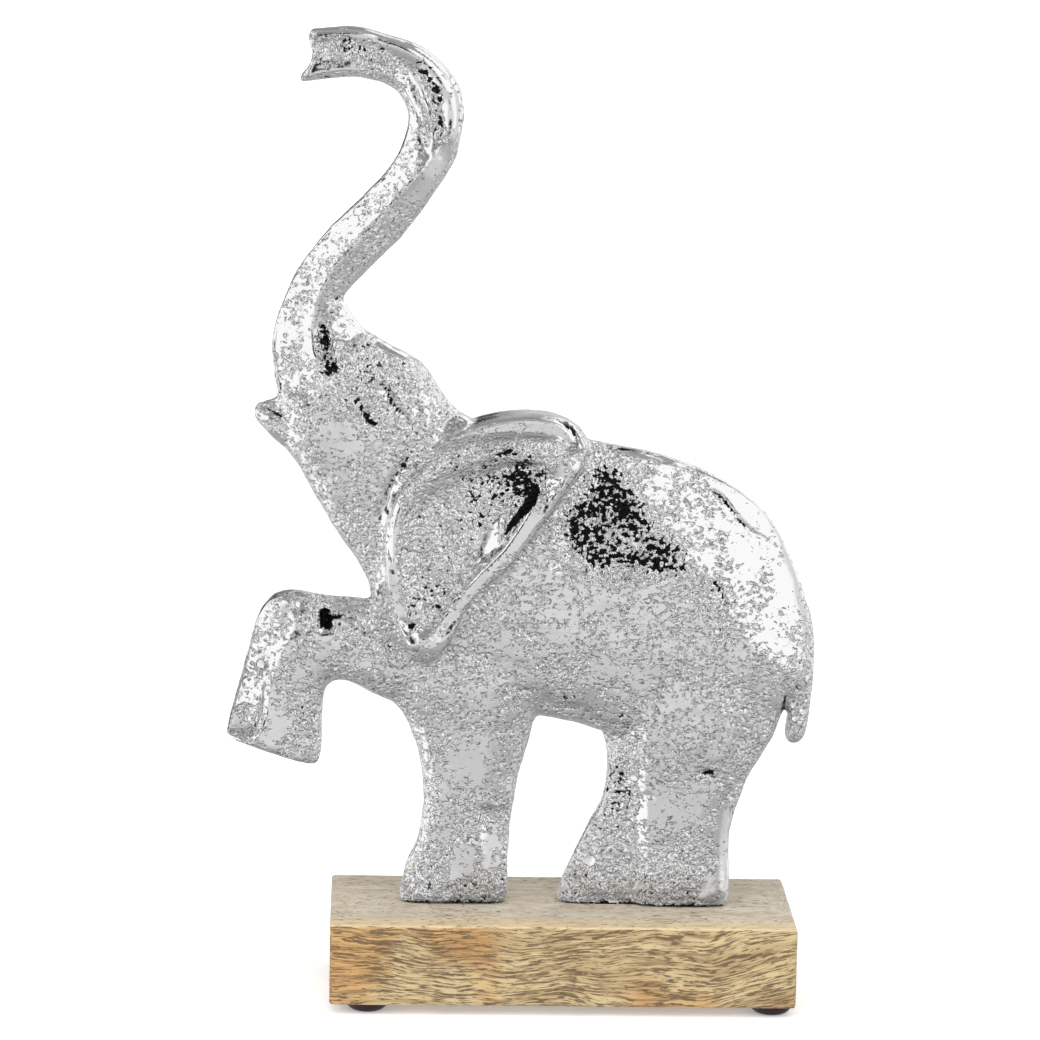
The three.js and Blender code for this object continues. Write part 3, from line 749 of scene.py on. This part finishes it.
def noise_of(tree, where, size, detail=2.0, rough=0.5, stretch=(1, 1, 1), place=(0, 0, 0), twist=0):
    """A noise pattern with lumps of about this size in millimetres."""
    mapping = add_node(tree, "ShaderNodeMapping")
    mapping.inputs["Scale"].default_value = stretch
    mapping.inputs["Location"].default_value = place
    tree.links.new(where, mapping.inputs["Vector"])
    pattern = add_node(tree, "ShaderNodeTexNoise")
    pattern.inputs["Scale"].default_value = 1 / (size * MM)
    pattern.inputs["Detail"].default_value = detail
    pattern.inputs["Roughness"].default_value = rough
    pattern.inputs["Distortion"].default_value = twist
    tree.links.new(mapping.outputs["Vector"], pattern.inputs["Vector"])
    return pattern.outputs["Fac"]


def ramp(tree, source, low, high, start=0.0, end=1.0):
    """The source carried from low..high to start..end, eased."""
    made = add_node(tree, "ShaderNodeMapRange", interpolation_type="SMOOTHSTEP")
    made.inputs["From Min"].default_value = low
    made.inputs["From Max"].default_value = high
    made.inputs["To Min"].default_value = start
    made.inputs["To Max"].default_value = end
    tree.links.new(source, made.inputs["Value"])
    return made.outputs["Result"]


def ramp_straight(tree, source, low, high):
    made = add_node(tree, "ShaderNodeMapRange")
    made.inputs["From Min"].default_value = low
    made.inputs["From Max"].default_value = high
    tree.links.new(source, made.inputs["Value"])
    return made.outputs["Result"]


def work_out(tree, kind, first, second=0):
    made = add_node(tree, "ShaderNodeMath", operation=kind)
    for socket, value in zip(made.inputs, (first, second)):
        if isinstance(value, (int, float)):
            socket.default_value = value
        else:
            tree.links.new(value, socket)
    return made.outputs["Value"]


def plus(tree, first, second):
    return work_out(tree, "ADD", first, second)


def minus(tree, first, second):
    return work_out(tree, "SUBTRACT", first, second)


def times(tree, first, second):
    return work_out(tree, "MULTIPLY", first, second)


def blend_colours(tree, share, first, second):
    made = add_node(tree, "ShaderNodeMix", data_type="RGBA")
    tree.links.new(share, made.inputs["Factor"])
    for socket, value in ((made.inputs[6], first), (made.inputs[7], second)):
        if isinstance(value, tuple):
            socket.default_value = (*value, 1)
        else:
            tree.links.new(value, socket)
    return made.outputs[2]


def kept(tree, name):
    return add_node(tree, "ShaderNodeAttribute", attribute_name=name).outputs["Fac"]


def add_relief(tree, shader, height, depth, strength):
    bump = add_node(tree, "ShaderNodeBump")
    bump.inputs["Distance"].default_value = depth * MM
    bump.inputs["Strength"].default_value = strength
    tree.links.new(height, bump.inputs["Height"])
    tree.links.new(bump.outputs["Normal"], shader.inputs["Normal"])


def aluminium():
    material, tree, shader = finish_of("cast_aluminium")
    where = add_node(tree, "ShaderNodeTexCoord").outputs["Object"]
    # pits lie in clusters, and eat away most of the skin where the casting is pitted
    patches = noise_of(tree, where, CLUSTER, detail=5, rough=0.62)
    eaten = plus(tree, times(tree, kept(tree, "pitted"), PIT_GAIN), times(tree, patches, CLUSTER_GAIN))
    skin = noise_of(tree, where, PIT, detail=3, rough=0.58, twist=0.5, stretch=(0.85, 1, 1.15))
    above = minus(tree, minus(tree, skin, PIT_START), eaten)
    flat = ramp(tree, above, -PIT_WALL, PIT_WALL)
    crumbs = noise_of(tree, where, CRUMB, detail=1.6, rough=0.5, place=(0.31, 0.17, 0.53))
    # deep pits are painted with near-black shade, and more so in the recesses painted dark
    unshaded = minus(tree, above, times(tree, kept(tree, "dark"), DARK_GAIN))
    ragged = minus(tree, crumbs, 0.5)
    hollow = ramp(tree, plus(tree, unshaded, ragged), DARK_BELOW, UNSHADED_ABOVE, 1, 0)
    # painted shade lies along the edges of the pits
    edge = work_out(tree, "ABSOLUTE", plus(tree, above, times(tree, ragged, 0.4)))
    broken = ramp(tree, noise_of(tree, where, PIT_EDGE_SHADE_GAP, detail=1, place=(0.7, 0.4, 0.2)), 0.47, 0.55)
    pit_edge_shade = times(tree, ramp(tree, edge, 0.0, PIT_EDGE_SHADE_WIDTH, PIT_EDGE_SHADE_SHARE, 0), broken)
    colour = blend_colours(tree, pit_edge_shade, METAL, PIT_EDGE_SHADE)
    # a brown tint stands for the wood that the foot of each leg would mirror
    low = ramp(tree, kept(tree, "above_wood"), TINT_FULL_BELOW, TINT_GONE_ABOVE, TINT_SHARE, 0)
    tint = times(tree, low, ramp(tree, patches, 0.42, 0.54))
    colour = blend_colours(tree, tint, colour, WOOD_IN_METAL)
    # near-black painted shade and painted dark reflection in the deep pits and the recesses
    colour = blend_colours(tree, hollow, colour, RECESS_SHADE)
    tree.links.new(colour, shader.inputs["Base Color"])
    shader.inputs["Metallic"].default_value = 1
    shader.inputs["Roughness"].default_value = METAL_ROUGHNESS
    crumbled = ramp(tree, above, -PIT_WALL, PIT_WALL, CRUMBS_IN_PITS, CRUMBS_ON_SKIN)
    add_relief(tree, shader, plus(tree, flat, times(tree, crumbs, crumbled)), METAL_RELIEF, 1)
    return material


def brown_figure(tree, x, z, clumps):
    """The share of brown in the figure of the wood at the left of the block's front."""
    off_x = work_out(tree, "ABSOLUTE", plus(tree, x, FIGURE_LEFT_OF_MIDDLE * MM))
    off_z = work_out(tree, "ABSOLUTE", minus(tree, z, FIGURE_ABOVE_TABLE * MM))
    long_way = ramp(tree, off_x, FIGURE_FULL_ALONG * MM, FIGURE_GONE_ALONG * MM, 1, 0)
    short_way = ramp(tree, off_z, FIGURE_FULL_UP * MM, FIGURE_GONE_UP * MM, 1, 0)
    return times(tree, times(tree, long_way, short_way), ramp(tree, clumps, 0.36, 0.58, 0.15, 0.8))


def light_wood():
    material, tree, shader = finish_of("light_wood")
    where = add_node(tree, "ShaderNodeTexCoord").outputs["Object"]
    apart = add_node(tree, "ShaderNodeSeparateXYZ")
    tree.links.new(where, apart.inputs[0])
    x, y, z = (apart.outputs[axis] for axis in "XYZ")
    # the grain runs along the block in slow waves, and rises towards its right end
    waves = noise_of(
        tree, where, WAVE, detail=2, rough=0.45, stretch=(1.0, 0.5, 1.2), place=(0.013, 0.02, 0.01))
    shift = times(tree, minus(tree, waves, 0.5), WAVE_HEIGHT * MM)
    past = work_out(tree, "MAXIMUM", minus(tree, x, BLOCK_HIGH.x - RISE_LENGTH * MM), 0)
    shift = minus(tree, shift, times(tree, past, RISE))
    along = add_node(tree, "ShaderNodeCombineXYZ")
    for socket, value in zip(along.inputs, (x, y, plus(tree, z, shift))):
        tree.links.new(value, socket)
    grain = along.outputs[0]
    streaks = noise_of(tree, grain, 1.6, detail=4, rough=0.62, stretch=(0.045, 0.35, 1.0))
    fibres = noise_of(tree, grain, 0.7, detail=3, rough=0.6, stretch=(0.07, 0.5, 1.0), place=(0.2, 0.1, 0.4))
    pores = noise_of(tree, grain, 0.40, detail=2, rough=0.6, stretch=(0.10, 0.5, 1.0), place=(0.4, 0.1, 0.2))
    bands = noise_of(tree, grain, 11, detail=3, rough=0.55, stretch=(0.16, 0.5, 1.0))
    clumps = noise_of(tree, where, 16, detail=3, rough=0.55, place=(0.3, 0.2, 0.15))
    # warm on the left with a brown figure, and greener towards the right
    from_left = ramp_straight(tree, x, BLOCK_LOW.x, BLOCK_LOW.x + WARM_LENGTH * MM)
    tones = noise_of(tree, where, 36, detail=2, rough=0.5, place=(0.11, 0.05, 0.02))
    green = ramp(tree, plus(tree, tones, times(tree, from_left, GREEN_TOWARDS_RIGHT)), 0.54, 0.72)
    warm = blend_colours(tree, ramp(tree, bands, 0.36, 0.64), WARM_LIGHT, WARM_DARK)
    warm = blend_colours(tree, brown_figure(tree, x, z, clumps), warm, BROWN_FIGURE)
    toned = blend_colours(tree, green, warm, GREENISH)
    streaked = blend_colours(tree, ramp(tree, streaks, 0.34, 0.58, STREAK_SHARE, 0), toned, STREAK)
    # the top is painted paler and greyer than the sides, as painted light from above, and its front edge is
    # worn pale
    on_top = ramp(tree, z, BLOCK_HIGH.z - TOP_STARTS_BELOW * MM, BLOCK_HIGH.z - TOP_FULL_BELOW * MM)
    top = blend_colours(tree, ramp(tree, streaks, 0.38, 0.62), TOP_DARK, TOP_LIGHT)
    worn = ramp(tree, y, BLOCK_LOW.y + WORN_GONE_BEHIND * MM, BLOCK_LOW.y + WORN_FULL_BEHIND * MM)
    top = blend_colours(tree, worn, top, WORN)
    wood = blend_colours(tree, on_top, streaked, top)
    fine_share = ramp(tree, fibres, 0.46, 0.66, 0, FIBRE_SHARE)
    fine_share = times(tree, fine_share, ramp_straight(tree, on_top, 1.6, 0))
    fine = blend_colours(tree, fine_share, wood, FIBRE)
    # pores lie closer together in some places than in others
    fewer = plus(tree, times(tree, on_top, 0.09), times(tree, clumps, -0.30))
    pore = ramp(tree, minus(tree, pores, fewer), 0.65, 0.75, 0, PORE_SHARE)
    colour = blend_colours(tree, pore, fine, PORE)
    tree.links.new(colour, shader.inputs["Base Color"])
    tree.links.new(ramp(tree, streaks, 0.3, 0.7, 0.62, 0.50), shader.inputs["Roughness"])
    add_relief(tree, shader, minus(tree, fibres, pore), WOOD_RELIEF, 0.7)
    return material


def dark_rubber():
    material, tree, shader = finish_of("dark_rubber")
    where = add_node(tree, "ShaderNodeTexCoord").outputs["Object"]
    grain = noise_of(tree, where, 0.7, detail=3)
    colour = blend_colours(tree, grain, RUBBER_DARK, RUBBER_LIGHT)
    tree.links.new(colour, shader.inputs["Base Color"])
    shader.inputs["Roughness"].default_value = RUBBER_ROUGHNESS
    add_relief(tree, shader, grain, RUBBER_RELIEF, 0.4)
    return material


def fit(piece, node, material):
    piece.data.materials.clear()
    piece.data.materials.append(material)
    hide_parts(node)
    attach(piece, "root")


fit(cast_elephant(), "elephant", aluminium())
block = wood_block()
# The casting would mirror it far more brightly than the shaded wood under a real one
block.visible_glossy = False
fit(block, "wood_base", light_wood())
rubber = dark_rubber()
for foot in ("foot_front_left", "foot_front_right", "foot_back_left", "foot_back_right"):
    fit(rubber_foot(foot), foot, rubber)


# Floor and light. The floor's radius is in metres, and the lamp's angles are in degrees.
FLOOR_RADIUS = 12
FLOOR_GREY = 0.95
FLOOR_ROUGHNESS = 0.9
FLOOR_GLOW = 0.28
LAMP_POWER = 2.0
LAMP_SPREAD = 70
LAMP_TILT = 38
LAMP_TURN = -12
# Brightness of the room by height, from straight down at 0 to straight up at 1
ROOM = [
    (0.0, 0.30),
    (0.12, 0.40),
    (0.29, 0.645),
    (0.41, 0.78),
    (0.58, 0.64),
    (0.76, 0.34),
    (0.9, 0.26),
    (1.0, 0.40),
]
# Soft panels as turn to the right of the camera, height, inner and outer half width, all in degrees, and
# brightness
PANELS = [
    (-85, 5, 44, 53, 1.08),
    (50, 22, 32, 41, 1.08),
    (105, 0, 25, 42, 0.75),
    (-18, 9, 13, 20, 0.03),
    (34, -30, 10, 24, 0.45),
]


def pale_floor():
    bm = bmesh.new()
    bmesh.ops.create_circle(bm, cap_ends=True, radius=FLOOR_RADIUS, segments=96)
    bmesh.ops.translate(bm, vec=(MIDDLE_X, MIDDLE_Y, cad_box[0][2]), verts=bm.verts)
    piece = new_piece("floor", bm)
    material, tree, shader = finish_of("pale_floor")
    shader.inputs["Base Color"].default_value = (FLOOR_GREY, FLOOR_GREY, FLOOR_GREY, 1)
    shader.inputs["Roughness"].default_value = FLOOR_ROUGHNESS
    shader.inputs["Emission Color"].default_value = (1, 1, 1, 1)
    shader.inputs["Emission Strength"].default_value = FLOOR_GLOW
    piece.data.materials.append(material)
    piece.visible_glossy = False


def brightness_by_height(tree, height, steps):
    made = add_node(tree, "ShaderNodeValToRGB")
    made.color_ramp.interpolation = "EASE"
    marks = made.color_ramp.elements
    marks.remove(marks[1])
    for i, (place, value) in enumerate(steps):
        mark = marks[0] if i == 0 else marks.new(place)
        mark.position = place
        mark.color = (value, value, value, 1)
    tree.links.new(height, made.inputs["Fac"])
    return made.outputs["Color"]


def room_light():
    world = bpy.data.worlds.new("room")
    world.use_nodes = True
    tree = world.node_tree
    room = tree.nodes["Background"]
    towards = add_node(tree, "ShaderNodeTexCoord").outputs["Generated"]
    apart = add_node(tree, "ShaderNodeSeparateXYZ")
    tree.links.new(towards, apart.inputs[0])
    # the room behind the figure is the same as the room in front of it
    ahead = times(tree, work_out(tree, "ABSOLUTE", apart.outputs["Y"]), -1)
    joined = add_node(tree, "ShaderNodeCombineXYZ")
    for socket, value in zip(joined.inputs, (apart.outputs["X"], ahead, apart.outputs["Z"])):
        tree.links.new(value, socket)
    colour = brightness_by_height(tree, ramp_straight(tree, apart.outputs["Z"], -1, 1), ROOM)
    for turn, height, inner, outer, brightness in PANELS:
        turn, height = math.radians(turn), math.radians(height)
        facing = add_node(tree, "ShaderNodeVectorMath", operation="DOT_PRODUCT")
        tree.links.new(joined.outputs[0], facing.inputs[0])
        facing.inputs[1].default_value = (
            math.cos(height) * math.sin(turn), -math.cos(height) * math.cos(turn), math.sin(height))
        rim, middle = math.cos(math.radians(outer)), math.cos(math.radians(inner))
        share = ramp(tree, facing.outputs["Value"], rim, middle)
        colour = blend_colours(tree, share, colour, (brightness, brightness, brightness))
    tree.links.new(colour, room.inputs["Color"])
    seen = add_node(tree, "ShaderNodeBackground")
    seen.inputs["Color"].default_value = (1, 1, 1, 1)
    pick = add_node(tree, "ShaderNodeMixShader")
    tree.links.new(add_node(tree, "ShaderNodeLightPath").outputs["Is Camera Ray"], pick.inputs["Fac"])
    tree.links.new(room.outputs[0], pick.inputs[1])
    tree.links.new(seen.outputs[0], pick.inputs[2])
    tree.links.new(pick.outputs[0], tree.nodes["World Output"].inputs["Surface"])
    bpy.context.scene.world = world


def overhead_lamp():
    """Wide soft lamp for the wood and the floor. The metal doesn't mirror it."""
    data = bpy.data.lights.new("overhead", "SUN")
    data.angle = math.radians(LAMP_SPREAD)
    data.energy = LAMP_POWER
    lamp = bpy.data.objects.new("overhead", data)
    lamp.rotation_euler = (math.radians(LAMP_TILT), 0, math.radians(LAMP_TURN))
    lamp.visible_glossy = False
    bpy.context.scene.collection.objects.link(lamp)


pale_floor()
room_light()
overhead_lamp()
bpy.context.scene.view_settings.view_transform = "Standard"
